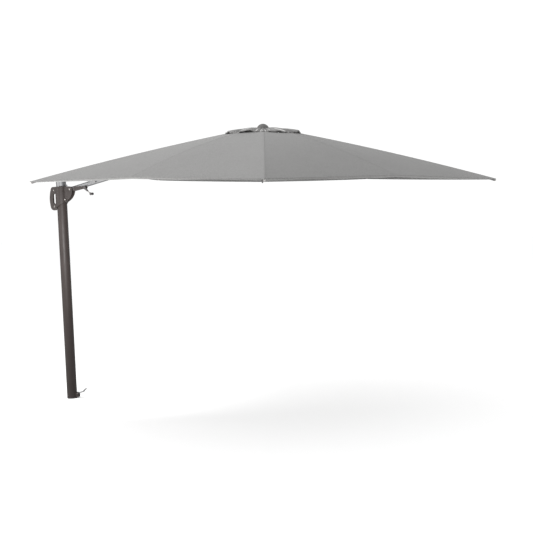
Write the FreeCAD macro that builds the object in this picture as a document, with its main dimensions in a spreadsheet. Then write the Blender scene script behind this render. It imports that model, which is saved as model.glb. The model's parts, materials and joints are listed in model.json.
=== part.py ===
import FreeCAD, Part
import Sketcher
import math
import os

# Cantilever parasol with a square canopy.  Millimetres, +Z up.  The origin is the
# centre of the mast's foot, and the boom leaves the mast along +X.

Vector = FreeCAD.Vector
document = FreeCAD.newDocument("cantilever_parasol")
sheet = document.addObject("Spreadsheet::Sheet", "sizes")

SIZES = {
    "mast_radius": 50.5, "mast_wall": 2.5, "mast_top": 2150, "head_top": 2255,
    "foot_ring": 10, "running_gap": 0.05, "end_gap": 0.3,
    "stub_radius": 44, "stub_wall": 8, "stub_top": 260, "bush_height": 30,
    "foot_hole_radius": 4.5, "foot_hole_circle": 56,
    "boom_pin_x": 118, "boom_pin_z": 2121, "boom_pin_radius": 8,
    "boom_height": 46, "boom_width": 40, "boom_wall": 2, "boom_corner": 16,
    "strut_length": 300, "strut_pin_radius": 6, "strut_bar_height": 24,
    "strut_bar_thickness": 5, "strut_bar_inner": 22,
    "sleeve_radius": 62, "sleeve_bore": 52, "grip_half": 12,
    "cheek_inner": 21, "cheek_outer": 31,
    "canopy_side": 3048, "canopy_tilt": 2, "cloth": 1.5,
    "apex_x": 2216.8, "apex_z": 2630.9,
    "hub_radius": 100, "pivot_circle": 85, "pivot_drop": 62,
    "rib_width": 14, "rib_height": 18, "rib_wall": 1.5, "rib_gap": 5.5,
    "stay_length": 560, "stay_angle": 15.5, "stay_width": 13, "stay_height": 12,
    "rib_pin_radius": 2.5, "post_radius": 20, "post_bottom": 385,
    "vent_radius": 347, "finial_radius": 55.5,
    "crank_x": 305, "crank_z": 2126, "knob_x": 403, "knob_z": 2065,
    "pedal_pin_x": 74, "pedal_pin_z": 50,
}
for row, (alias, value) in enumerate(SIZES.items(), start=1):
    sheet.set(f"A{row}", alias)
    sheet.set(f"B{row}", str(value))
    sheet.setAlias(f"B{row}", alias)
document.recompute()


def size(alias):
    """The value of a cell of the sheet."""
    return float(sheet.get(alias))


nodes = []


def keep(item, label):
    """Marks a finished sub-part and gives it the label that names its file."""
    item.Label = label
    nodes.append(item)
    return item


def bind(item, **values):
    """Sets an item's sizes: words are expressions on the sheet, numbers are plain."""
    for name, value in values.items():
        if isinstance(value, str):
            item.setExpression(name, value)
        else:
            setattr(item, name, value)
    return item


TURN = {
    "z": FreeCAD.Rotation(),
    "y": FreeCAD.Rotation(Vector(1, 0, 0), -90),
    "x": FreeCAD.Rotation(Vector(0, 1, 0), 90),
}


def cylinder(name, radius, height, at, axis="z"):
    """A cylinder that starts at a point and runs along +X, +Y or +Z."""
    item = document.addObject("Part::Cylinder", name)
    bind(item, Radius=radius, Height=height)
    item.Placement = FreeCAD.Placement(Vector(*at), TURN[axis])
    return item


def box(name, low, high):
    """A box between two corners."""
    item = document.addObject("Part::Box", name)
    bind(item, Length=high[0] - low[0], Width=high[1] - low[1], Height=high[2] - low[2])
    item.Placement.Base = Vector(*low)
    return item


def fuse(name, *items):
    """One solid from several."""
    item = document.addObject("Part::MultiFuse", name)
    item.Shapes = list(items)
    return item


def cut(name, base, *tools):
    """The base with the tools' space taken away."""
    item = document.addObject("Part::Cut", name)
    item.Base = base
    item.Tool = tools[0] if len(tools) == 1 else fuse(name + "_tools", *tools)
    return item


def common(name, one, other):
    """The space that two solids share."""
    item = document.addObject("Part::Common", name)
    item.Base = one
    item.Tool = other
    return item


def path_edges(points):
    """Edges through points; a point written as (middle, end) makes an arc."""
    edges = []
    start = Vector(*points[0])
    for step in points[1:]:
        if isinstance(step[0], tuple):
            middle, end = Vector(*step[0]), Vector(*step[1])
            edges.append(Part.Arc(start, middle, end).toShape())
        else:
            end = Vector(*step)
            edges.append(Part.LineSegment(start, end).toShape())
        start = end
    return edges


def padded_outline(name, outline, length, inner=None, inner_length=0):
    """A body padded both ways from its XZ plane; inner cuts a channel inside it."""
    body = document.addObject("PartDesign::Body", name)
    plane = [o for o in body.Origin.OriginFeatures if o.Role == "XZ_Plane"][0]
    for title, points, kind, depth in (
        ("outline", outline, "PartDesign::Pad", length),
        ("channel", inner, "PartDesign::Pocket", inner_length),
    ):
        if points is None:
            continue
        sketch = body.newObject("Sketcher::SketchObject", f"{name}_{title}")
        sketch.AttachmentSupport = [(plane, "")]
        sketch.MapMode = "FlatFace"
        draw(sketch, points)
        feature = body.newObject(kind, f"{name}_{title}_depth")
        feature.Profile = sketch
        if hasattr(feature, "SideType"):
            feature.SideType = "Symmetric"
        else:
            feature.Midplane = True
        bind(feature, Length=depth)
        sketch.Visibility = False
        document.recompute()
    return body


def draw(sketch, points):
    """A closed loop of lines and arcs in a sketch, joined end to end."""
    start = points[0]
    for step in points[1:]:
        if isinstance(step[0], tuple):
            middle, end = step
            arc = Part.Arc(Vector(*start, 0), Vector(*middle, 0), Vector(*end, 0))
            sketch.addGeometry(arc, False)
        else:
            end = step
            line = Part.LineSegment(Vector(*start, 0), Vector(*end, 0))
            sketch.addGeometry(line, False)
        start = end
    for index in range(sketch.GeometryCount):
        sketch.addConstraint(Sketcher.Constraint("Block", index))


# ---------------------------------------------------------------- derived places

mast_radius = size("mast_radius")
mast_bore = mast_radius - size("mast_wall")
foot_ring = size("foot_ring")
pin_b = Vector(size("boom_pin_x"), 0, size("boom_pin_z"))
apex = Vector(size("apex_x"), 0, size("apex_z"))
tilt = math.radians(size("canopy_tilt"))
hub_drop = 53.0
hub_point = apex + Vector(-hub_drop * math.sin(tilt), 0, -hub_drop * math.cos(tilt))
boom_vector = hub_point - pin_b
boom_angle = math.degrees(math.atan2(boom_vector.z, boom_vector.x))
strut_length = size("strut_length")
pin_p = pin_b + boom_vector * (strut_length / boom_vector.Length)
pin_m = Vector(pin_b.x, 0, 2 * pin_p.z - pin_b.z)
boom_frame = FreeCAD.Placement(pin_b, FreeCAD.Rotation(Vector(0, 1, 0), -boom_angle))
canopy_turn = FreeCAD.Rotation(Vector(0, 1, 0), size("canopy_tilt"))
canopy_frame = FreeCAD.Placement(apex, canopy_turn)
pivot_circle = size("pivot_circle")
pivot_drop = size("pivot_drop")
print("boom angle", boom_angle, "length", boom_vector.Length, "P", pin_p, "M", pin_m)

# ---------------------------------------------------------------- foot and swivel


def make_foot():
    """A flange with a stub that stands in the mast, and two bushes on the stub."""
    stub = size("stub_radius")
    stub_top = size("stub_top")
    flange = cylinder("flange", "sizes.mast_radius", "sizes.foot_ring", (0, 0, 0))
    post = cylinder("stub", "sizes.stub_radius", "sizes.stub_top", (0, 0, 0))
    bore = cylinder("stub_bore", "sizes.stub_radius - sizes.stub_wall",
                    stub_top, (0, 0, foot_ring))
    holes = []
    for index in range(4):
        turn = math.radians(45 + 90 * index)
        radius = size("foot_hole_circle") / 2
        at = (radius * math.cos(turn), radius * math.sin(turn), -1)
        holes.append(cylinder(f"foot_hole_{index}", "sizes.foot_hole_radius", 30, at))
    keep(cut("spindle", fuse("spindle_solid", flange, post), bore, *holes), "base_spindle")
    bushes = []
    for label, low in (("lower", 20), ("upper", 225)):
        outer = cylinder(f"{label}_bush_outer", mast_bore - size("running_gap"),
                         "sizes.bush_height", (0, 0, low))
        inner = cylinder(f"{label}_bush_inner", stub, "sizes.bush_height", (0, 0, low))
        bushes.append(cut(f"{label}_bush", outer, inner))
    keep(fuse("bush_pair", *bushes), "swivel_bushes")


def make_mast():
    """The bronze tube, the silver head with the stay's lug, and the head pin."""
    bottom = foot_ring + size("end_gap")
    top = size("mast_top")
    tube = cylinder("mast_outer", "sizes.mast_radius", top - bottom, (0, 0, bottom))
    bore = cylinder("mast_bore", "sizes.mast_radius - sizes.mast_wall", top, (0, 0, 0))
    keep(cut("mast", tube, bore), "mast_tube")
    head = cylinder("head_outer", "sizes.mast_radius", size("head_top") - top, (0, 0, top))
    spigot = cylinder("head_spigot", mast_bore, 60, (0, 0, top - 50))
    hollow = cylinder("head_hollow", 44, size("head_top") - top + 42, (0, 0, top - 51))
    lug_half = 20
    lug_radius = 12
    lug = box("lug", (20, -lug_half, pin_m.z - lug_radius), (pin_m.x, lug_half, pin_m.z + lug_radius))
    web = box("lug_web", (20, -lug_half, pin_m.z - 30), (60, lug_half, pin_m.z + lug_radius))
    nose = cylinder("lug_nose", lug_radius, 2 * lug_half, (pin_m.x, -lug_half, pin_m.z), "y")
    stop = box("stop_tab", (47, -8, 2154), (68, 8, 2170))
    hole = cylinder("lug_hole", "sizes.strut_pin_radius", 80, (pin_m.x, -40, pin_m.z), "y")
    shell = cut("head_shell", fuse("head_solid", head, spigot), hollow)
    keep(cut("head", fuse("head_and_lug", shell, lug, web, nose, stop), hole), "mast_head")
    keep(cylinder("head_pin", "sizes.strut_pin_radius", 66, (pin_m.x, -33, pin_m.z), "y"),
         "head_pin")


def make_pedal():
    """The swivel lock: a bracket on the mast, its pin, and the lever the foot presses."""
    at_x = size("pedal_pin_x")
    at_z = size("pedal_pin_z")
    block = box("bracket_block", (38, -16, 14), (at_x + 12, 16, at_z + 10))
    mast = cylinder("bracket_mast", "sizes.mast_radius", 100, (0, 0, 0))
    gap = box("bracket_gap", (50, -10.5, 36), (at_x + 20, 10.5, at_z + 20))
    hole = cylinder("bracket_hole", 4, 40, (at_x, -20, at_z), "y")
    keep(cut("bracket", block, mast, gap, hole), "pedal_bracket")
    keep(cylinder("pedal_pin", 4, 38, (at_x, -19, at_z), "y"), "pedal_pin")
    outline = [(60, 44), (74, 42), ((84, 45), (90, 52)), (126, 62), ((140, 66), (152, 78)),
               (172, 96), ((172, 102), (166, 103)), (146, 88), ((134, 76), (120, 71)),
               (84, 61), ((68, 60), (60, 54)), (60, 44)]
    lever = padded_outline("lever", outline, 20)
    hole = cylinder("lever_hole", 4 + size("running_gap"), 40, (at_x, -20, at_z), "y")
    keep(cut("pedal", lever, hole), "foot_pedal")


# ---------------------------------------------------------------- sliding handle


def make_handle():
    """Two moulded halves that clasp the mast, with a grip loop and cheeks for the boom."""
    outline = [(-62, 2152), (62, 2152), (122, 2145), ((139, 2140), (143, 2124)), (142, 2094),
               ((120, 2047), (80, 2009)), (0, 1963), (-56, 1930), ((-104, 1919), (-128, 1950)),
               ((-136, 2047), (-118, 2132)), ((-108, 2147), (-90, 2152)), (-62, 2152)]
    grip = size("grip_half")
    prism = padded_outline("housing_prism", outline, 140)
    sleeve = cylinder("sleeve", "sizes.sleeve_radius", 260, (0, 0, 1905))
    band = cylinder("sleeve_band", "sizes.sleeve_radius + 1.2", 5, (0, 0, 2099))
    collar = cylinder("sleeve_collar", "sizes.sleeve_radius + 2", 18, (0, 0, 2134))
    loop = box("loop", (-150, -grip, 1900), (-40, grip, 2160))
    blocks = [sleeve, band, collar, loop]
    for side in (-1, 1):
        near = min(side * size("cheek_inner"), side * size("cheek_outer"))
        far = max(side * size("cheek_inner"), side * size("cheek_outer"))
        blocks.append(box(f"cheek_{side + 1}", (30, near, 1950), (150, far, 2160)))
        ridge_low = min(side * (size("cheek_outer") - 1), side * (size("cheek_outer") + 1.2))
        blocks.append(box(f"cheek_ridge_{side + 1}", (30, ridge_low, 2099), (150, ridge_low + 2.2, 2104)))
        blocks.append(cylinder(f"pin_boss_{side + 1}", 15, 2.2, (pin_b.x, ridge_low, pin_b.z), "y"))
        boss_low = min(side * 24, side * 40)
        blocks.append(cylinder(f"screw_boss_{side + 1}", 9, 16, (64, boss_low, 2019), "y"))
    solid = common("housing_solid", fuse("housing_blocks", *blocks), prism)
    bore = cylinder("sleeve_bore", "sizes.sleeve_bore", 300, (0, 0, 1890))
    slot = padded_outline("finger_slot", [(-58, 1984), (-58, 2081), (-84, 2081),
                          ((-93, 2078), (-97, 2068)), (-97, 1995), ((-93, 1987), (-84, 1984)),
                          (-58, 1984)], 60)
    cavity = box("trigger_cavity", (-117, -6.5, 1987), (-70, 6.5, 2076))
    tools = [bore, slot, cavity]
    tools.append(cylinder("boom_pin_hole", "sizes.boom_pin_radius", 100, (pin_b.x, -50, pin_b.z), "y"))
    for index, (x, z) in enumerate(((-84, 2118), (-84, 1954))):
        tools.append(cylinder(f"rivet_hole_{index}", 4, 60, (x, -30, z), "y"))
    for side in (-1, 1):
        low = min(side * 27, side * 41)
        tools.append(cylinder(f"screw_hole_{side + 1}", 3.5, 14, (64, low, 2019), "y"))
        seat_low = min(side * 40, side * 70)
        tools.append(cylinder(f"screw_seat_{side + 1}", 6.5, 30, (64, seat_low, 2019), "y"))
    housing = cut("housing", solid, *tools)
    front = box("front_half", (-160, -80, 1880), (160, 0, 2180))
    rear = box("rear_half", (-160, 0, 1880), (160, 80, 2180))
    keep(common("housing_a", housing, front), "handle_housing_front")
    keep(common("housing_b", housing, rear), "handle_housing_rear")
    rings = []
    for index, low in enumerate((2000, 2122)):
        outer = cylinder(f"slide_outer_{index}", "sizes.sleeve_bore", 20, (0, 0, low))
        inner = cylinder(f"slide_inner_{index}", "sizes.mast_radius + sizes.running_gap", 20, (0, 0, low))
        rings.append(cut(f"slide_ring_{index}", outer, inner))
    keep(fuse("slide_rings", *rings), "slide_bushes")
    rivets = []
    for index, (x, z) in enumerate(((-84, 2118), (-84, 1954))):
        shank = cylinder(f"rivet_shank_{index}", 4, 2 * grip, (x, -grip, z), "y")
        front_head = cylinder(f"rivet_front_{index}", 6.5, 2, (x, -grip - 2, z), "y")
        rear_head = cylinder(f"rivet_rear_{index}", 6.5, 2, (x, grip, z), "y")
        rivets.append(fuse(f"rivet_{index}", shank, front_head, rear_head))
    for side in (-1, 1):
        shank_low = min(side * 27, side * 40)
        head_low = min(side * 40, side * 42)
        shank = cylinder(f"screw_shank_{side + 1}", 3.5, 13, (64, shank_low, 2019), "y")
        head = cylinder(f"screw_head_{side + 1}", 6.5, 2, (64, head_low, 2019), "y")
        rivets.append(fuse(f"screw_{side + 1}", shank, head))
    keep(fuse("rivets", *rivets), "housing_rivets")
    keep(cylinder("boom_pin", "sizes.boom_pin_radius", 70, (pin_b.x, -35, pin_b.z), "y"), "boom_pin")
    scallops = [(-107, 1989), (-107, 2074), (-98, 2074)]
    step = 85 / 4
    for index in range(4):
        top = 2074 - step * index
        scallops.append(((-101.5, top - step / 2), (-98, top - step)))
    scallops.append((-107, 1989))
    keep(padded_outline("trigger", scallops, 12), "release_trigger")


# ---------------------------------------------------------------- lift strut and boom


def make_lift_strut():
    """Two flat bars either side of the boom, with a spacer and the pin at the boom."""
    half = size("strut_bar_height") / 2
    inner = size("strut_bar_inner")
    thick = size("strut_bar_thickness")
    items = []
    for side in (-1, 1):
        low = min(side * inner, side * (inner + thick))
        title = f"bar_{side + 1}"
        bar = box(title, (0, low, -half), (strut_length, low + thick, half))
        near = cylinder(title + "_near", half, thick, (0, low, 0), "y")
        far = cylinder(title + "_far", half, thick, (strut_length, low, 0), "y")
        items += [bar, near, far]
    items.append(cylinder("bar_spacer", 6, 2 * inner, (120, -inner, 0), "y"))
    hole = cylinder("bar_hole", "sizes.strut_pin_radius + sizes.running_gap", 80, (0, -40, 0), "y")
    far_hole = cylinder("bar_far_hole", "sizes.strut_pin_radius", 80, (strut_length, -40, 0), "y")
    strut = cut("strut", fuse("strut_solid", *items), hole, far_hole)
    strut.Placement = FreeCAD.Placement(pin_m, FreeCAD.Rotation(Vector(0, 1, 0), boom_angle))
    keep(strut, "lift_strut")
    keep(cylinder("strut_pin", "sizes.strut_pin_radius", 66, (pin_p.x, -33, pin_p.z), "y"), "strut_pin")


def rounded_section(name, wide, tall, corner, length, start):
    """A bar of rounded section along +X."""
    item = document.addObject("Part::Feature", name)
    low = Vector(start, -wide / 2 + corner, -tall / 2)
    core = Part.makeBox(length, wide - 2 * corner, tall, low)
    side = Part.makeBox(length, wide, tall - 2 * corner, Vector(start, -wide / 2, -tall / 2 + corner))
    shape = core.fuse(side)
    for y in (-1, 1):
        for z in (-1, 1):
            centre = Vector(start, y * (wide / 2 - corner), z * (tall / 2 - corner))
            shape = shape.fuse(Part.makeCylinder(corner, length, centre, Vector(1, 0, 0)))
    item.Shape = shape.removeSplitter()
    return item


def make_boom():
    """The oval tube, its dark root with the pin bore, and the crank's side housing."""
    tall = size("boom_height")
    wide = size("boom_width")
    wall = size("boom_wall")
    corner = size("boom_corner")
    start = 30
    stop = boom_vector.Length - 104 / math.cos(math.radians(boom_angle) + tilt)
    outer = rounded_section("boom_outer", wide, tall, corner, stop - start, start)
    inner = rounded_section("boom_inner", wide - 2 * wall, tall - 2 * wall, corner - wall,
                            stop - start + 2, start - 1)
    hole = cylinder("boom_strut_hole", "sizes.strut_pin_radius + sizes.running_gap", 80,
                    (strut_length, -40, 0), "y")
    tube = cut("boom", outer, inner, hole)
    tube.Placement = boom_frame
    keep(tube, "boom_tube")
    eye = cylinder("root_eye", 22, 39, (0, -19.5, 0), "y")
    block = box("root_block", (0, -19.5, -21), (start, 19.5, 21))
    spigot = box("root_spigot", (start - 1, -12, -15), (start + 60, 12, 15))
    bore = cylinder("root_bore", "sizes.boom_pin_radius + sizes.running_gap", 60, (0, -30, 0), "y")
    root = cut("root", fuse("root_solid", eye, block, spigot), bore)
    root.Placement = boom_frame
    keep(root, "boom_root")
    outline = [(163, 2147), (308, 2145), ((321, 2136), (318, 2120)), (302, 2112), (280, 2119),
               (175, 2100), (163, 2102), (163, 2147)]
    plate = padded_outline("crank_plate", outline, 15.5)
    plate.Placement.Base = Vector(0, -28.25, 0)
    boss = cylinder("crank_boss", 16, 4, (size("crank_x"), -40, size("crank_z")), "y")
    hole = cylinder("crank_bore", 7 + size("running_gap"), 30, (size("crank_x"), -42, size("crank_z")), "y")
    keep(cut("crank_case", fuse("crank_case_solid", plate, boss), hole), "crank_housing")


def make_crank():
    """The crank's hub and bent rod, and the grip that turns on the rod's end."""
    x = size("crank_x")
    z = size("crank_z")
    knob_x = size("knob_x")
    knob_z = size("knob_z")
    shaft = cylinder("crank_shaft", 7, 26, (x, -48, z), "y")
    disc = cylinder("crank_disc", 14, 13, (x, -53.5, z), "y")
    root = padded_outline("crank_arm_root", [(x - 2, z - 12), (x + 28, z - 36), (x + 37, z - 27),
                          (x + 12, z + 3), (x - 2, z - 12)], 13)
    root.Placement.Base = Vector(0, -47, 0)
    keep(fuse("crank_hub_solid", shaft, disc, root), "crank_hub")
    level = -47
    points = [(x + 25, level, z - 25), (x + 40, level, z - 37), (x + 58, level, z - 51),
              (knob_x - 16, level, knob_z + 1), (knob_x - 3, level - 4, knob_z),
              (knob_x, level - 13, knob_z)]
    curve = Part.BSplineCurve()
    curve.interpolate([Vector(*p) for p in points])
    ring = Part.Wire([Part.makeCircle(4.5, curve.value(0), curve.tangent(0)[0])])
    rod = document.addObject("Part::Feature", "crank_rod_bend")
    rod.Shape = Part.Wire([curve.toShape()]).makePipeShell([ring], True, True)
    end = cylinder("crank_rod_end", 4, 38, (knob_x, level - 51, knob_z), "y")
    keep(fuse("crank_rod_solid", rod, end), "crank_rod")
    grip = document.addObject("Part::Feature", "grip_turned")
    profile = [(0, 0, 0), (11, 0, 0), ((13, 0, 2), (13, 0, 5)), ((11.4, 0, 19), (12.6, 0, 34)),
               ((12.8, 0, 42), (8, 0, 46)), (0, 0, 46), (0, 0, 0)]
    grip.Shape = Part.Face(Part.Wire(path_edges(profile))).revolve(Vector(), Vector(0, 0, 1), 360)
    grip.Placement = FreeCAD.Placement(Vector(knob_x, level - 15, knob_z),
                                       FreeCAD.Rotation(Vector(1, 0, 0), 90))
    bore = cylinder("grip_bore", 4 + size("running_gap"), 44, (knob_x, level - 53, knob_z), "y")
    keep(cut("grip", grip, bore), "crank_knob")


# ---------------------------------------------------------------- canopy surface

HALF_SIDE = size("canopy_side") / 2
RIB_STEP = 45.0
FIRST_RIB = 22.5
CROWN = 15.6
SLOPE = 0.187
CORNER_BOW = 1.97e-5
MIDDLE_BOW = 7.64e-5


def drop(radius, corner):
    """How far the cloth over a rib lies below the canopy's peak."""
    bow = CORNER_BOW if corner else MIDDLE_BOW
    return CROWN + SLOPE * radius + bow * radius * radius


def cloth_point(azimuth, reach):
    """A point of the cloth; reach is measured square to the hem that the gore ends at."""
    middle = 67.5 + 90 * math.floor((azimuth - 22.5) / 90)
    across = math.tan(math.radians(azimuth - middle))
    share = abs(across)
    power = 1 + 1.2 * (reach / HALF_SIDE) ** 2
    low = drop(reach, False)
    depth = low + (drop(reach * math.sqrt(2), True) - low) * share ** power
    distance = reach * math.sqrt(1 + across * across)
    off_boom = abs(azimuth - 180)
    if off_boom < 22.5:
        depth -= max(0, 0.10 * (distance - 1000)) * (1 - off_boom / 22.5)
    turn = math.radians(azimuth)
    return Vector(distance * math.cos(turn), distance * math.sin(turn), -depth)


def make_panel(index):
    """One sewn gore of the canopy, between two ribs, as a thin closed shell."""
    along = 9
    across = 6
    inner = 235
    start = FIRST_RIB + RIB_STEP * index
    top = []
    for i in range(along + 1):
        reach = inner + (HALF_SIDE - inner) * i / along
        line = []
        for j in range(across + 1):
            share = j / across
            to_middle = index % 2 == 0
            turn = math.degrees(math.atan(1 - share if to_middle else share))
            azimuth = start + (RIB_STEP - turn if to_middle else turn)
            line.append(cloth_point(azimuth, reach))
        top.append(line)
    under = [[p - Vector(0, 0, size("cloth")) for p in line] for line in top]
    faces = []

    def patch(a, b, c, d):
        for corner in ((a, b, c), (a, c, d)):
            faces.append(Part.Face(Part.makePolygon([*corner, corner[0]])))

    for i in range(along):
        for j in range(across):
            patch(top[i][j], top[i + 1][j], top[i + 1][j + 1], top[i][j + 1])
            patch(under[i][j], under[i][j + 1], under[i + 1][j + 1], under[i + 1][j])
        for j in (0, across):
            patch(top[i][j], top[i + 1][j], under[i + 1][j], under[i][j])
    for j in range(across):
        for i in (0, along):
            patch(top[i][j], top[i][j + 1], under[i][j + 1], under[i][j])
    shell = Part.makeShell(faces)
    shell.sewShape()
    solid = Part.makeSolid(shell)
    if solid.Volume < 0:
        solid.reverse()
    item = document.addObject("Part::Feature", f"panel_{index + 1}_cloth")
    item.Shape = solid
    item.Placement = canopy_frame
    keep(item, f"canopy_panel_{index + 1}")


def make_top():
    """The vent cap over the canopy's open centre, and the turned finial on top."""
    rim = size("vent_radius")
    steps = 7
    upper = []
    for index in range(steps + 1):
        radius = 20 + (rim - 20) * index / steps
        upper.append((radius, 0, -40 - 38 * (radius / rim) ** 2.5))
    lower = [(r, 0, z - size("cloth")) for r, _, z in reversed(upper)]
    cap = document.addObject("Part::Feature", "vent_turned")
    section = Part.Face(Part.makePolygon([Vector(*p) for p in [*upper, *lower, upper[0]]]))
    cap.Shape = section.revolve(Vector(), Vector(0, 0, 1), 360)
    cap.Placement = canopy_frame
    keep(cap, "vent_cap")
    wide = size("finial_radius")
    rise = 36
    ball = (wide * wide + rise * rise) / (2 * rise)
    sphere = document.addObject("Part::Sphere", "finial_ball")
    bind(sphere, Radius=ball)
    sphere.Placement.Base = Vector(0, 0, 8 - ball)
    dome = common("finial_dome", sphere, cylinder("finial_top", wide + 5, 50, (0, 0, -28)))
    rim_disc = cylinder("finial_rim", "sizes.finial_radius", 10, (0, 0, -38))
    stem = cylinder("finial_stem", 8, 10, (0, 0, -46.9))
    knob = fuse("finial_solid", stem, rim_disc, dome)
    knob.Placement = canopy_frame
    keep(knob, "finial")


# ---------------------------------------------------------------- hub, ribs and stays


def radial(name, item, azimuth):
    """Turns an item about the canopy's axis and puts it in the canopy's frame."""
    turn = FreeCAD.Placement(Vector(), FreeCAD.Rotation(Vector(0, 0, 1), azimuth))
    item.Placement = canopy_frame.multiply(turn).multiply(item.Placement)
    return item


def rib_azimuth(index):
    """The direction of a rib about the canopy's axis, in degrees."""
    return FIRST_RIB + RIB_STEP * index


def star(name, radius, low, high, slot_in, slot_width, bore, pin):
    """A slotted disc that carries eight pivots."""
    disc = cylinder(name + "_disc", radius, high - low, (0, 0, low))
    tools = [cylinder(name + "_centre", bore, high - low + 2, (0, 0, low - 1))]
    middle = (low + high) / 2
    for index in range(8):
        slot = box(f"{name}_slot_{index}", (slot_in, -slot_width / 2, low - 1),
                   (radius + 5, slot_width / 2, high + 1))
        hole = cylinder(f"{name}_hole_{index}", pin, 32, (pivot_circle, -16, middle), "y")
        for tool in (slot, hole):
            turn = FreeCAD.Placement(Vector(), FreeCAD.Rotation(Vector(0, 0, 1), rib_azimuth(index)))
            tool.Placement = turn.multiply(tool.Placement)
            tools.append(tool)
    return cut(name, disc, *tools)


def make_hub():
    """The hub with its eight pins and the post under it, fixed to the boom's end."""
    low = -pivot_drop - 15
    high = -pivot_drop + 15
    disc = star("hub_star", size("hub_radius"), low, high, 68, 14.6, 3, size("rib_pin_radius"))
    arm = box("hub_arm", (boom_vector.Length - 190, -12, -15), (boom_vector.Length - 55, 12, 15))
    arm.Placement = canopy_frame.inverse().multiply(boom_frame).multiply(arm.Placement)
    collar = cylinder("hub_collar", 62, 20, (0, 0, low - 12))
    clear = cylinder("hub_clear", "sizes.post_radius", 60, (0, 0, low - 62))
    hub = cut("hub_cut", fuse("hub_solid", disc, arm, collar), clear)
    hub.Placement = canopy_frame
    keep(hub, "hub")
    pins = []
    for index in range(8):
        pin = cylinder(f"hub_pin_{index}", "sizes.rib_pin_radius", 28, (pivot_circle, -14, -pivot_drop), "y")
        pins.append(radial("pin", pin, rib_azimuth(index)))
    keep(fuse("hub_pin_group", *pins), "hub_pins")
    bottom = -size("post_bottom")
    outer = cylinder("post_outer", "sizes.post_radius", low - 2 - bottom, (0, 0, bottom))
    inner = cylinder("post_inner", size("post_radius") - 2, 400, (0, 0, bottom - 1))
    post = cut("post", outer, inner)
    post.Placement = canopy_frame
    keep(post, "hub_post")


def make_rib(index):
    """A bowed hollow rib, its tip cap, and the tab that carries its stay."""
    corner = index % 2 == 0
    reach = HALF_SIDE * math.sqrt(2) if corner else HALF_SIDE
    end_u = reach - (15 if corner else 12)
    middle_u = (pivot_circle + end_u) / 2
    half = size("rib_height") / 2
    wall = size("rib_wall")
    gap = size("rib_gap")
    extra = 3 if corner else 4
    end_z = -drop(end_u, corner) - gap - half
    middle_z = -drop(middle_u, corner) - gap - half - extra

    def band(start, stop, inset):
        top = half - inset
        rise = (end_z - middle_z) / (end_u - middle_u)
        return [(start, -pivot_drop - top), (start, -pivot_drop + top),
                ((middle_u, middle_z + top), (stop, end_z + top)),
                (stop, end_z - top),
                ((middle_u, middle_z - top), (start, -pivot_drop - top))], rise

    outer, slope = band(pivot_circle, end_u, 0)
    inner, slope = band(pivot_circle + 25, end_u, wall)
    lowered = 25 * (middle_z + pivot_drop) / (middle_u - pivot_circle) * 0.75
    inner[0] = (pivot_circle + 25, -pivot_drop + lowered - half + wall)
    inner[1] = (pivot_circle + 25, -pivot_drop + lowered + half - wall)
    inner[-1] = (inner[-1][0], inner[0])
    width = size("rib_width")
    bar = padded_outline(f"rib_{index}_bar", outer, width, inner, width - 2 * wall)
    eye = cylinder(f"rib_{index}_eye", half, width, (pivot_circle, -width / 2, -pivot_drop), "y")
    tab_x = pivot_circle + size("stay_length") * math.cos(math.radians(size("stay_angle")))
    tab_z = -pivot_drop - size("stay_length") * math.sin(math.radians(size("stay_angle")))
    share = (tab_x - pivot_circle) / (end_u - pivot_circle)
    chord = -pivot_drop + share * (end_z + pivot_drop)
    bulge = 4 * (middle_z - (end_z - pivot_drop) / 2) * share * (1 - share)
    rib_bottom = chord + bulge - half
    tab = box(f"rib_{index}_tab", (tab_x - 9, -3, tab_z), (tab_x + 9, 3, rib_bottom + wall - 0.2))
    foot = cylinder(f"rib_{index}_foot", 9, 6, (tab_x, -3, tab_z), "y")
    pin = size("rib_pin_radius") + size("running_gap")
    pivot_hole = cylinder(f"rib_{index}_pivot", pin, 40, (pivot_circle, -20, -pivot_drop), "y")
    tab_hole = cylinder(f"rib_{index}_tab_hole", pin, 20, (tab_x, -10, tab_z), "y")
    rib = cut(f"rib_{index}", fuse(f"rib_{index}_solid", bar, eye, tab, foot), pivot_hole, tab_hole)
    keep(radial("rib", rib, rib_azimuth(index)), f"rib_{index + 1}")

    cap_length = 13 if corner else 10
    plug = box(f"tip_{index}_plug", (-22, -5.4, -half + wall + 0.8), (1, 5.4, half - wall - 0.8))
    head = box(f"tip_{index}_head", (0, -8, -half), (cap_length - 4, 8, half - 0.6))
    nose = cylinder(f"tip_{index}_nose", half - 0.3, 16, (cap_length - 8.7, -8, -0.3), "y")
    trim = box(f"tip_{index}_trim", (-14, -9, -12), (0, 9, 12))
    rounded = cut(f"tip_{index}_rounded", nose, trim)
    tip = fuse(f"tip_{index}", plug, head, rounded)
    tip_turn = math.degrees(math.atan2(middle_z - end_z, end_u - middle_u)) * 1.12
    tip.Placement = FreeCAD.Placement(Vector(end_u, 0, end_z), FreeCAD.Rotation(Vector(0, 1, 0), tip_turn))
    keep(radial("tip", tip, rib_azimuth(index)), f"rib_tip_{index + 1}")


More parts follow.
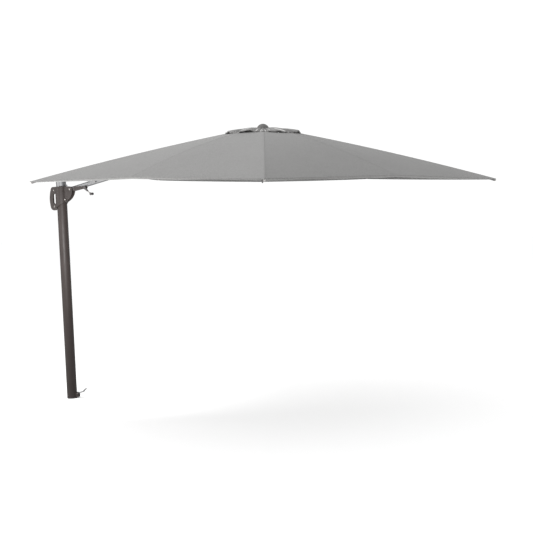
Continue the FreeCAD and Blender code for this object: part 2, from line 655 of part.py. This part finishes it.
def make_stay(index):
    """The stay that pushes a rib up from the runner, with its two pins."""
    length = size("stay_length")
    half_width = size("stay_width") / 2
    half_height = size("stay_height") / 2
    bar = box(f"stay_{index}_bar", (0, -half_width, -half_height), (length, half_width, half_height))
    inner_end = cylinder(f"stay_{index}_inner", half_height, 2 * half_width, (0, -half_width, 0), "y")
    outer_end = cylinder(f"stay_{index}_outer", half_height, 2 * half_width, (length, -half_width, 0), "y")
    fork = box(f"stay_{index}_fork", (length - 26, -3.3, -20), (length + 20, 3.3, 20))
    body = cut(f"stay_{index}_body", fuse(f"stay_{index}_solid", bar, inner_end, outer_end), fork)
    runner_pin = cylinder(f"stay_{index}_runner_pin", "sizes.rib_pin_radius", 25, (0, -12.5, 0), "y")
    rib_pin = cylinder(f"stay_{index}_rib_pin", "sizes.rib_pin_radius", 15, (length, -7.5, 0), "y")
    stay = fuse(f"stay_{index}", body, runner_pin, rib_pin)
    bottom = -pivot_drop - 2 * length * math.sin(math.radians(size("stay_angle")))
    stay.Placement = FreeCAD.Placement(
        Vector(pivot_circle, 0, bottom), FreeCAD.Rotation(Vector(0, 1, 0), -size("stay_angle")))
    keep(radial("stay", stay, rib_azimuth(index)), f"stay_{index + 1}")


def make_runner():
    """The sliding ring that the stays' lower ends hang from."""
    middle = -pivot_drop - 2 * size("stay_length") * math.sin(math.radians(size("stay_angle")))
    pin = size("rib_pin_radius") + size("running_gap")
    ring = star("runner_star", 96, middle - 12, middle + 12, 66, 14,
                size("post_radius") + size("running_gap"), pin)
    ring.Placement = canopy_frame
    keep(ring, "runner")


make_foot()
make_mast()
make_pedal()
make_handle()
make_lift_strut()
make_boom()
make_crank()
for gore in range(8):
    make_panel(gore)
make_top()
make_hub()
for spoke in range(8):
    make_rib(spoke)
    make_stay(spoke)
make_runner()

document.recompute()
for item in document.Objects:
    if "Invalid" in item.State or "Error" in item.State:
        raise RuntimeError(f"{item.Name} failed: {item.State}")
os.makedirs("parts", exist_ok=True)
for item in nodes:
    shape = item.Shape
    if shape.isNull() or not shape.isValid() or not shape.Solids:
        raise RuntimeError(f"{item.Label} has no valid solid")
    shape.exportStep(f"parts/{item.Label}.step")
print(len(nodes), "nodes")
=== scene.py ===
import json
import math

import bpy
from mathutils import Matrix, Vector


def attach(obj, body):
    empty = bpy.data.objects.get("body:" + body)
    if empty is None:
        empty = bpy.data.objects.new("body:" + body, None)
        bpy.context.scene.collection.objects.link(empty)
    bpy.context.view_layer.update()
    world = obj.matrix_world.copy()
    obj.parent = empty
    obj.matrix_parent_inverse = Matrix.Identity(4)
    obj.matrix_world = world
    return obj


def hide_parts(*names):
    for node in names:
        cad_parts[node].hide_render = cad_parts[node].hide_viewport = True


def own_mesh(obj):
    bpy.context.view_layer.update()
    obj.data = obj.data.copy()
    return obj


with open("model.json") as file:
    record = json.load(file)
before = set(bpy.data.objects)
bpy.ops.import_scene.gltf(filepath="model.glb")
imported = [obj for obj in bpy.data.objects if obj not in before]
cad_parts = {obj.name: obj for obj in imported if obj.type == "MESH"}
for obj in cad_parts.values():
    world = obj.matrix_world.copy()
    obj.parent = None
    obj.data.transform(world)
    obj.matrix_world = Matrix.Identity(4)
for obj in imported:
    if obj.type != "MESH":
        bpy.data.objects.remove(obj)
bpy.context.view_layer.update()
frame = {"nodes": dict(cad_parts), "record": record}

# Cantilever parasol.  Metres, +Z up, origin at the mast's foot, boom along +X.
# Pieces made here replace the cloth's plain CAD solids.  Every other CAD node gets a material.

# ------------------------------------------------------------------ driving sizes

HALF_SIDE = 1.524
PEAK = Vector((2.2168, 0, 2.6309))
TILT = math.radians(2)
CROWN = 0.0156
SLOPE = 0.187
CORNER_BOW = 0.0197
MIDDLE_BOW = 0.0764
FIRST_RIB = 22.5
RIB_STEP = 45.0
HALF_STEP = RIB_STEP / 2
RIBS = 8
VENT_HOLE = 0.235
VENT_RIM = 0.347
HEM_DEEP = 0.021
HEM_SHALLOW = 0.008
SAG = 0.009
CLOTH_LIFT = 0.0008
BOOM_RISE = 0.10
BOOM_RISE_START = 1.0
HEM_TURN = 0.004
CAP_TOP = 0.036
CAP_DROP = 0.046
CAP_CLEARANCE = 0.004
HEM_CLEARANCE = 0.0015
PLEAT = 0.017
TUCK = 0.0030
PETAL_HEM = 0.011
PETAL_TURN = 0.010
PETAL_INNER = 0.088
CROWN_RADIUS = 0.090

CANOPY = Matrix.Translation(PEAK) @ Matrix.Rotation(TILT, 4, "Y")
record = frame["record"]
nodes = frame["nodes"]
slot_of = {s["node"]: s["material_slot"] for s in record["subparts"]}


# ------------------------------------------------------------------ camera and light

def make_camera():
    """The camera at the viewing angle: low, level with the canopy's hem."""
    data = bpy.data.cameras.new("view")
    data.sensor_width = 36
    data.lens = 67.54
    data.clip_end = 200
    camera = bpy.data.objects.new("view", data)
    bpy.context.scene.collection.objects.link(camera)
    turn = math.radians(22.5 - 0.25)
    pitch = math.radians(3.86)
    roll = math.radians(-2.23)
    forward = Vector((-math.sin(turn), math.cos(turn), 0))
    right = Vector((math.cos(turn), math.sin(turn), 0))
    up = Vector((0, 0, 1))
    ahead = forward * math.cos(pitch) - up * math.sin(pitch)
    above = up * math.cos(pitch) + forward * math.sin(pitch)
    side = right * math.cos(roll) + above * math.sin(roll)
    top = above * math.cos(roll) - right * math.sin(roll)
    pose = Matrix((side, top, -ahead)).transposed().to_4x4()
    place = Vector((5.7096, -8.5836, 1.9474))
    camera.matrix_world = Matrix.Translation(place) @ pose
    bpy.context.scene.camera = camera


def area_light(name, place, target, size, power):
    """A soft square light at a place, turned towards a target."""
    data = bpy.data.lights.new(name, "AREA")
    data.shape = "SQUARE"
    data.size = size
    data.energy = power
    lamp = bpy.data.objects.new(name, data)
    bpy.context.scene.collection.objects.link(lamp)
    lamp.location = place
    lamp.rotation_mode = "QUATERNION"
    lamp.rotation_quaternion = (Vector(target) - Vector(place)).to_track_quat("-Z", "Y")


def make_stage():
    """A pale floor under a white studio sky, a large key light from the left, a small lamp on the mast."""
    world = bpy.data.worlds.new("studio")
    world.use_nodes = True
    sky = world.node_tree.nodes["Background"]
    sky.inputs["Color"].default_value = (1, 1, 1, 1)
    sky.inputs["Strength"].default_value = 1.04
    bpy.context.scene.world = world
    bpy.context.scene.view_settings.view_transform = "Standard"
    mesh = bpy.data.meshes.new("floor")
    reach = 40
    corners = [(-reach, -reach, 0), (reach, -reach, 0), (reach, reach, 0), (-reach, reach, 0)]
    mesh.from_pydata(corners, [], [(0, 1, 2, 3)])
    floor = bpy.data.objects.new("floor", mesh)
    bpy.context.scene.collection.objects.link(floor)
    floor.location.z = -0.0005
    material, _, shader = new_material("pale_floor", (0.97, 0.97, 0.97), 0.9)
    shader.inputs["Specular IOR Level"].default_value = 0.1
    mesh.materials.append(material)
    area_light("key", (-12.0, -11.9, 6.3), (2.2, 0, 2.4), 3.4, 2150)
    area_light("mast_light", (0.5, -1.15, 1.55), (0, 0, 1.6), 0.3, 42)


# ------------------------------------------------------------------ material helpers

def new_material(name, colour, roughness, metallic=0.0):
    """A material with its shader; returns the material, its node tree and the shader."""
    material = bpy.data.materials.new(name)
    material.use_nodes = True
    tree = material.node_tree
    shader = tree.nodes["Principled BSDF"]
    shader.inputs["Base Color"].default_value = (*colour, 1)
    shader.inputs["Roughness"].default_value = roughness
    shader.inputs["Metallic"].default_value = metallic
    return material, tree, shader


def add(tree, kind, **settings):
    """A node with its properties and inputs set by name."""
    node = tree.nodes.new(kind)
    for name, value in settings.items():
        key = name.replace("_", " ")
        if key in node.inputs:
            node.inputs[key].default_value = value
        else:
            setattr(node, name, value)
    return node


def coordinates(tree, scale=(1, 1, 1)):
    """Object coordinates, stretched by a scale."""
    place = add(tree, "ShaderNodeTexCoord")
    mapping = add(tree, "ShaderNodeMapping")
    mapping.inputs["Scale"].default_value = scale
    tree.links.new(place.outputs["Object"], mapping.inputs["Vector"])
    return mapping.outputs["Vector"]


def noise(tree, vector, scale, detail=4.0, roughness=0.6):
    """Noise at a scale per metre."""
    node = add(tree, "ShaderNodeTexNoise", Scale=scale, Detail=detail, Roughness=roughness)
    tree.links.new(vector, node.inputs["Vector"])
    return node.outputs["Fac"]


def ramp(tree, source, stops):
    """A colour ramp with stops (position, grey or colour)."""
    node = add(tree, "ShaderNodeValToRGB")
    elements = node.color_ramp.elements
    while len(elements) < len(stops):
        elements.new(0.5)
    for element, (position, colour) in zip(elements, stops):
        element.position = position
        element.color = (*colour, 1) if isinstance(colour, tuple) else (colour,) * 3 + (1,)
    tree.links.new(source, node.inputs["Fac"])
    return node.outputs["Color"]


def bump(tree, shader, height, strength, distance, below=None):
    """Bumps the shader's normal by a height; chains onto another bump."""
    node = add(tree, "ShaderNodeBump", Strength=strength, Distance=distance)
    tree.links.new(height, node.inputs["Height"])
    if below is not None:
        tree.links.new(below, node.inputs["Normal"])
    tree.links.new(node.outputs["Normal"], shader.inputs["Normal"])
    return node.outputs["Normal"]


def multiply(tree, first, second):
    """One colour times another."""
    node = add(tree, "ShaderNodeMix", data_type="RGBA", blend_type="MULTIPLY")
    node.inputs["Factor"].default_value = 1.0
    tree.links.new(first, node.inputs["A"])
    tree.links.new(second, node.inputs["B"])
    return node.outputs["Result"]


def tinted(tree, colour, amount):
    """A colour made darker and lighter by an amount."""
    dark = tuple(c * (1 - amount) for c in colour)
    light = tuple(min(1, c * (1 + amount)) for c in colour)
    return dark, light


# ------------------------------------------------------------------ materials

def powder_coat(name, colour, roughness):
    """Powder-coated metal: a fine orange-peel surface with faint scuffs."""
    material, tree, shader = new_material(name, colour, roughness)
    shader.inputs["Specular IOR Level"].default_value = 0.16
    place = coordinates(tree)
    dark, light = tinted(tree, colour, 0.10)
    patches = noise(tree, place, 9, 5)
    tree.links.new(ramp(tree, patches, [(0.3, dark), (0.7, light)]), shader.inputs["Base Color"])
    scuffs = noise(tree, coordinates(tree, (30, 30, 3)), 4, 8)
    tree.links.new(ramp(tree, scuffs, [(0.35, roughness - 0.06), (0.75, roughness + 0.14)]),
                   shader.inputs["Roughness"])
    bump(tree, shader, noise(tree, place, 900, 2), 0.12, 0.0006)
    return material


def anodised(name, colour, along, roughness):
    """Silver anodised aluminium with fine drawing lines along one direction."""
    material, tree, shader = new_material(name, colour, roughness, 1.0)
    stretch = tuple(4 if axis == along else 260 for axis in "xyz")
    lines = noise(tree, coordinates(tree, stretch), 3, 6, 0.7)
    dark, light = tinted(tree, colour, 0.04)
    tree.links.new(ramp(tree, lines, [(0.3, dark), (0.7, light)]), shader.inputs["Base Color"])
    tree.links.new(ramp(tree, lines, [(0.3, roughness - 0.02), (0.7, roughness + 0.04)]),
                   shader.inputs["Roughness"])
    bump(tree, shader, lines, 0.015, 0.0002)
    return material


def moulded(name, colour, roughness=0.5):
    """Moulded plastic with a spark-eroded grain and a little wear in its gloss."""
    material, tree, shader = new_material(name, colour, roughness)
    shader.inputs["Specular IOR Level"].default_value = 0.2
    place = coordinates(tree)
    dark, light = tinted(tree, colour, 0.09)
    tree.links.new(ramp(tree, noise(tree, place, 14, 5), [(0.3, dark), (0.7, light)]),
                   shader.inputs["Base Color"])
    tree.links.new(ramp(tree, noise(tree, place, 22, 7),
                        [(0.35, roughness - 0.08), (0.75, roughness + 0.12)]),
                   shader.inputs["Roughness"])
    cells = add(tree, "ShaderNodeTexVoronoi", Scale=700)
    tree.links.new(place, cells.inputs["Vector"])
    bump(tree, shader, cells.outputs["Distance"], 0.18, 0.0005)
    return material


def woven(name, colour, speckle=0.22):
    """Woven polyester: a plain weave, slubs in the yarn, and soft uneven fading."""
    material, tree, shader = new_material(name, colour, 0.88)
    shader.inputs["Specular IOR Level"].default_value = 0.22
    shader.inputs["Sheen Weight"].default_value = 0.18
    shader.inputs["Sheen Roughness"].default_value = 0.5
    yarn = 1100
    uv = add(tree, "ShaderNodeUVMap", uv_map="cloth")
    threads = []
    for turn in (0, math.pi / 2):
        mapping = add(tree, "ShaderNodeMapping")
        mapping.inputs["Rotation"].default_value = (0, 0, turn)
        tree.links.new(uv.outputs["UV"], mapping.inputs["Vector"])
        wave = add(tree, "ShaderNodeTexWave", Scale=yarn / 6.283, Distortion=0.6, Detail=1.0)
        tree.links.new(mapping.outputs["Vector"], wave.inputs["Vector"])
        threads.append(wave.outputs["Fac"])
    weave = add(tree, "ShaderNodeMath", operation="MAXIMUM")
    tree.links.new(threads[0], weave.inputs[0])
    tree.links.new(threads[1], weave.inputs[1])
    slubs = noise(tree, coordinates(tree, (260, 260, 60)), 1.4, 6, 0.75)
    fade = noise(tree, coordinates(tree), 2.3, 3, 0.5)
    dark, light = tinted(tree, colour, speckle)
    base = ramp(tree, slubs, [(0.36, dark), (0.64, light)])
    fleck = noise(tree, coordinates(tree), 95, 2, 0.5)
    worn = multiply(tree, base, ramp(tree, fleck, [(0.32, 0.81), (0.68, 1.0)]))
    tone = ramp(tree, fade, [(0.3, 0.95), (0.7, 1.0)])
    tree.links.new(multiply(tree, worn, tone), shader.inputs["Base Color"])
    soft = bump(tree, shader, noise(tree, coordinates(tree), 7, 3), 0.10, 0.02)
    bump(tree, shader, weave.outputs["Value"], 0.25, 0.0005, soft)
    return material


make_stage()
make_camera()

CLOTH_GREY = (0.213, 0.211, 0.208)
MATERIALS = {
    "bronze_paint": powder_coat("bronze_paint", (0.0205, 0.016, 0.0148), 0.50),
    "silver_tube": anodised("silver_tube", (0.135, 0.135, 0.137), "x", 0.48),
    "silver_cast": anodised("silver_cast", (0.165, 0.165, 0.168), "z", 0.50),
    "steel": anodised("steel", (0.22, 0.21, 0.20), "y", 0.34),
    "bronze_plastic": moulded("bronze_plastic", (0.020, 0.0158, 0.0146)),
    "black_plastic": moulded("black_plastic", (0.035, 0.032, 0.032)),
    "pale_plastic": moulded("pale_plastic", (0.42, 0.41, 0.40)),
    "grey_plastic": moulded("grey_plastic", (0.135, 0.133, 0.13)),
    "rib_paint": powder_coat("rib_paint", (0.055, 0.05, 0.05), 0.4),
    "canopy_cloth": woven("canopy_cloth", CLOTH_GREY),
}
# Painted light: the hem cloth is the canopy grey painted 1.35 times paler, so the turned-down hem reads as
# lit.
HEM_PAINTED_LIGHT = 1.35
# Painted highlight: the fold cloth is the canopy grey painted 3.2 times paler, as highlights on the vent
# petals' pleat crests.
FOLD_HIGHLIGHT = 3.2
LIT_HEM_CLOTH = woven("lit_hem_cloth", tuple(c * HEM_PAINTED_LIGHT for c in CLOTH_GREY), 0.12)
FOLD_HIGHLIGHT_CLOTH = woven("fold_highlight_cloth", tuple(c * FOLD_HIGHLIGHT for c in CLOTH_GREY), 0.12)

for name, node in nodes.items():
    material = MATERIALS[slot_of[name]]
    if not node.data.materials:
        node.data.materials.append(material)
    for slot in node.material_slots:
        slot.material = material


# ------------------------------------------------------------------ cloth surface

def drop(radius, corner):
    """How far the cloth over a rib lies below the canopy's peak."""
    bow = CORNER_BOW if corner else MIDDLE_BOW
    return CROWN + SLOPE * radius + bow * radius * radius


def cloth_height(x, y):
    """The height of the cloth at a place in the canopy's frame, between its ribs."""
    azimuth = math.degrees(math.atan2(y, x)) % 360
    side_step = 2 * RIB_STEP
    middle = FIRST_RIB + RIB_STEP + side_step * math.floor((azimuth - FIRST_RIB) / side_step)
    across = math.tan(math.radians(azimuth - middle))
    share = min(1.0, abs(across))
    distance = math.hypot(x, y)
    reach = distance * math.cos(math.radians(azimuth - middle))
    power = 1 + 1.2 * (reach / HALF_SIDE) ** 2
    low = drop(reach, False)
    depth = low + (drop(reach * math.sqrt(2), True) - low) * share ** power
    off_boom = abs(azimuth - 180)
    slack = 4 * share * (1 - share) * (reach / HALF_SIDE) ** 1.5
    sag = SAG * slack
    if off_boom < HALF_STEP:
        depth -= max(0, BOOM_RISE * (distance - BOOM_RISE_START)) * (1 - off_boom / HALF_STEP)
        sag = 0.0
    return -depth - sag + CLOTH_LIFT


def cloth_normal(x, y):
    """The cloth's outward direction, from its slopes."""
    step = 0.004
    east = cloth_height(x + step, y) - cloth_height(x - step, y)
    north = cloth_height(x, y + step) - cloth_height(x, y - step)
    return Vector((-east / (2 * step), -north / (2 * step), 1)).normalized()


def polar(azimuth, distance):
    """A place on the plane in the canopy's frame."""
    turn = math.radians(azimuth)
    return distance * math.cos(turn), distance * math.sin(turn)


def link(name, points, faces, materials):
    """A mesh object in the scene, from points in the row frame."""
    mesh = bpy.data.meshes.new(name)
    mesh.from_pydata([tuple(p) for p in points], [], faces)
    for material in materials:
        mesh.materials.append(material)
    for polygon in mesh.polygons:
        polygon.use_smooth = True
    piece = bpy.data.objects.new(name, mesh)
    bpy.context.scene.collection.objects.link(piece)
    return piece


def fold_with_rib(piece, index):
    """The piece rides on a rib and gets a mesh of its own."""
    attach(piece, f"rib_{index + 1}")
    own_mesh(piece)


def hem_band(share):
    """How far the turned-down hem hangs; shallow at the corners, deeper between them."""
    return HEM_DEEP - (HEM_DEEP - HEM_SHALLOW) * min(1.0, share) ** 2


def make_wedge(index):
    """The cloth over one rib, out to the middle of the gore on each side of it."""
    azimuth = FIRST_RIB + RIB_STEP * index
    corner = index % 2 == 0
    rows = 46
    half = 14
    points, faces, loops, uvs, kinds = [], [], [], [], []

    def place(side, i, j):
        """A point of the grid: i outward from the vent, j from the rib to mid-gore."""
        middle = azimuth + (side * RIB_STEP if corner else 0)
        near = 1.0 if corner else 0.0
        far = math.tan(math.radians(HALF_STEP))
        share = near + (far - near) * j / half
        turn = side * math.degrees(math.atan(share)) * (-1 if corner else 1)
        reach = VENT_HOLE + (HALF_SIDE - VENT_HOLE) * min(i, rows) / rows
        under = 0.0
        if i > rows:
            reach = HALF_SIDE - (0 if i == rows + 1 else HEM_TURN)
            under = hem_band(share) * (1.0 if i == rows + 1 else 0.35)
        distance = reach * math.sqrt(1 + share * share)
        x, y = polar(middle + turn, distance)
        normal = cloth_normal(*polar(middle + turn + (side * 0.4 if j == 0 else 0), distance))
        if i > rows:
            normal = -normal if i > rows + 1 else Vector((x, y, 0)).normalized()
        return Vector((x, y, cloth_height(x, y) - under)), normal, (reach, reach * share)

    total = rows + 2
    for side in (-1, 1):
        base = len(points)
        for i in range(total + 1):
            for j in range(half + 1):
                point, normal, uv = place(side, i, j)
                points.append(CANOPY @ point)
                loops.append((CANOPY.to_3x3() @ normal).normalized())
                uvs.append(uv)
        for i in range(total):
            for j in range(half):
                a = base + i * (half + 1) + j
                b = a + half + 1
                quad = (a, b, b + 1, a + 1)
                faces.append(quad if side == 1 else quad[::-1])
                # Painted light: the hem rows take the paler, lit-looking hem cloth.
                kinds.append(1 if i >= rows else 0)
    piece = link(f"canopy_cloth_{index + 1}", points, faces,
                 [MATERIALS["canopy_cloth"], LIT_HEM_CLOTH])
    layer = piece.data.uv_layers.new(name="cloth")
    for loop in piece.data.loops:
        layer.data[loop.index].uv = uvs[loop.vertex_index]
    for polygon, kind in zip(piece.data.polygons, kinds):
        polygon.material_index = kind
    piece.data.normals_split_custom_set([loops[loop.vertex_index] for loop in piece.data.loops])
    fold_with_rib(piece, index)
    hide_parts(f"canopy_panel_{index + 1}")
    tape = make_seam(index)


def make_seam(index):
    """The taped seam over a rib: a narrow strip with a raised line along each edge."""
    azimuth = FIRST_RIB + RIB_STEP * index
    corner = index % 2 == 0
    reach = HALF_SIDE * (math.sqrt(2) if corner else 1.0)
    rows = 60
    turn = math.radians(azimuth)
    along = Vector((math.cos(turn), math.sin(turn), 0))
    across = Vector((-math.sin(turn), math.cos(turn), 0))
    profile = ((-0.0075, 0.0002), (-0.0065, 0.0008), (-0.005, 0.0005), (0, 0.0007),
               (0.005, 0.0005), (0.0065, 0.0008), (0.0075, 0.0002))
    points, faces = [], []
    for i in range(rows + 1):
        distance = VENT_HOLE + (reach - VENT_HOLE) * i / rows
        for offset, rise in profile:
            narrow = offset * min(1.0, 0.35 + 3 * (reach - distance))
            place = along * distance + across * narrow
            base = cloth_height(place.x, place.y)
            points.append(CANOPY @ Vector((place.x, place.y, base + rise)))
    wide = len(profile)
    for i in range(rows):
        for j in range(wide - 1):
            a = i * wide + j
            faces.append((a, a + wide, a + wide + 1, a + 1))
    tape = link(f"seam_tape_{index + 1}", points, faces, [MATERIALS["canopy_cloth"]])
    map_flat(tape)
    fold_with_rib(tape, index)
    return tape


def vent_height(azimuth, radius):
    """The vent cap's height: a dome with arches between the ribs, pleats over them, above the cloth."""
    share = radius / VENT_RIM
    base = -CAP_TOP - CAP_DROP * share ** 2
    between = (1 - math.cos(math.radians(RIBS * (azimuth - FIRST_RIB)))) / 2
    lobe = 0.75 + 0.25 * math.sin(math.radians(3 * azimuth + 25))
    arch = lobe * between * (0.062 * share ** 2 * (1 - share) + 0.024 * share ** 3)
    near_rib = 1 - between
    pleat = PLEAT * near_rib ** 2 * math.cos(math.radians(40 * (azimuth - FIRST_RIB)))
    pleat *= share * (1.25 - share) * 2.2
    tuck = TUCK * math.sin(math.radians(24 * azimuth + 30)) * share ** 1.5
    cloth = cloth_height(*polar(azimuth, radius))
    dip = 0.014 * max(0.0, (0.22 - radius) / 0.13)
    lowest = cloth + CAP_CLEARANCE - dip
    return max(lowest, base + arch + pleat + tuck)


def make_vent_crown():
    """The disc of the vent cap under the finial."""
    points = [CANOPY @ Vector((0, 0, -0.0395))]
    faces = []
    turns = 64
    rings = 4
    for i in range(1, rings + 1):
        for j in range(turns):
            azimuth = 360 * j / turns
            radius = CROWN_RADIUS * i / rings
            x, y = polar(azimuth, radius)
            points.append(CANOPY @ Vector((x, y, vent_height(azimuth, radius) + 0.0006)))
    for j in range(turns):
        after = (j + 1) % turns
        faces.append((0, 1 + j, 1 + after))
        for i in range(rings - 1):
            a = 1 + i * turns
            faces.append((a + j, a + turns + j, a + turns + after, a + after))
    crown = link("vent_cap_crown", points, faces, [MATERIALS["canopy_cloth"]])
    map_flat(crown)
    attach(crown, "boom")
    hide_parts("vent_cap")


def make_vent_petal(index):
    """The vent cap's petal over one rib, with painted highlights on its pleat crests and a turned-down
    hem.
    """
    rings = 18
    steps = 48
    middle = FIRST_RIB + RIB_STEP * index
    points, faces, kinds = [], [], []
    for i in range(rings + 3):
        for j in range(steps + 1):
            azimuth = middle - HALF_STEP + RIB_STEP * j / steps
            radius = PETAL_INNER + (VENT_RIM - PETAL_INNER) * min(i, rings) / rings
            if i == rings + 2:
                radius -= PETAL_TURN
            x, y = polar(azimuth, radius)
            level = vent_height(azimuth, radius)
            if i > rings:
                level = max(level - PETAL_HEM, cloth_height(x, y) + HEM_CLEARANCE)
            points.append(CANOPY @ Vector((x, y, level)))
    for i in range(rings + 2):
        for j in range(steps):
            a = i * (steps + 1) + j
            b = a + steps + 1
            faces.append((a, b, b + 1, a + 1))
            offset = abs(RIB_STEP * (j + 0.5) / steps - HALF_STEP)
            # Painted highlight: faces on the pleat crests take the pale fold cloth.
            crest = 2.5 < offset < 4.6 or 9.4 < offset < 11.4
            # Painted light: the petal's hem rows take the paler, lit-looking hem cloth.
            if i >= rings:
                kinds.append(1)
            else:
                kinds.append(2 if crest and i > rings * 0.3 else 0)
    petal = link(f"vent_petal_{index + 1}", points, faces,
                 [MATERIALS["canopy_cloth"], LIT_HEM_CLOTH, FOLD_HIGHLIGHT_CLOTH])
    for polygon, kind in zip(petal.data.polygons, kinds):
        polygon.material_index = kind
    map_flat(petal)
    fold_with_rib(petal, index)


def map_flat(piece):
    """UVs in metres, seen from above."""
    layer = piece.data.uv_layers.new(name="cloth")
    for loop in piece.data.loops:
        point = piece.data.vertices[loop.vertex_index].co
        layer.data[loop.index].uv = (point.x, point.y)


for spoke in range(RIBS):
    make_wedge(spoke)
make_vent_crown()
for spoke in range(RIBS):
    make_vent_petal(spoke)
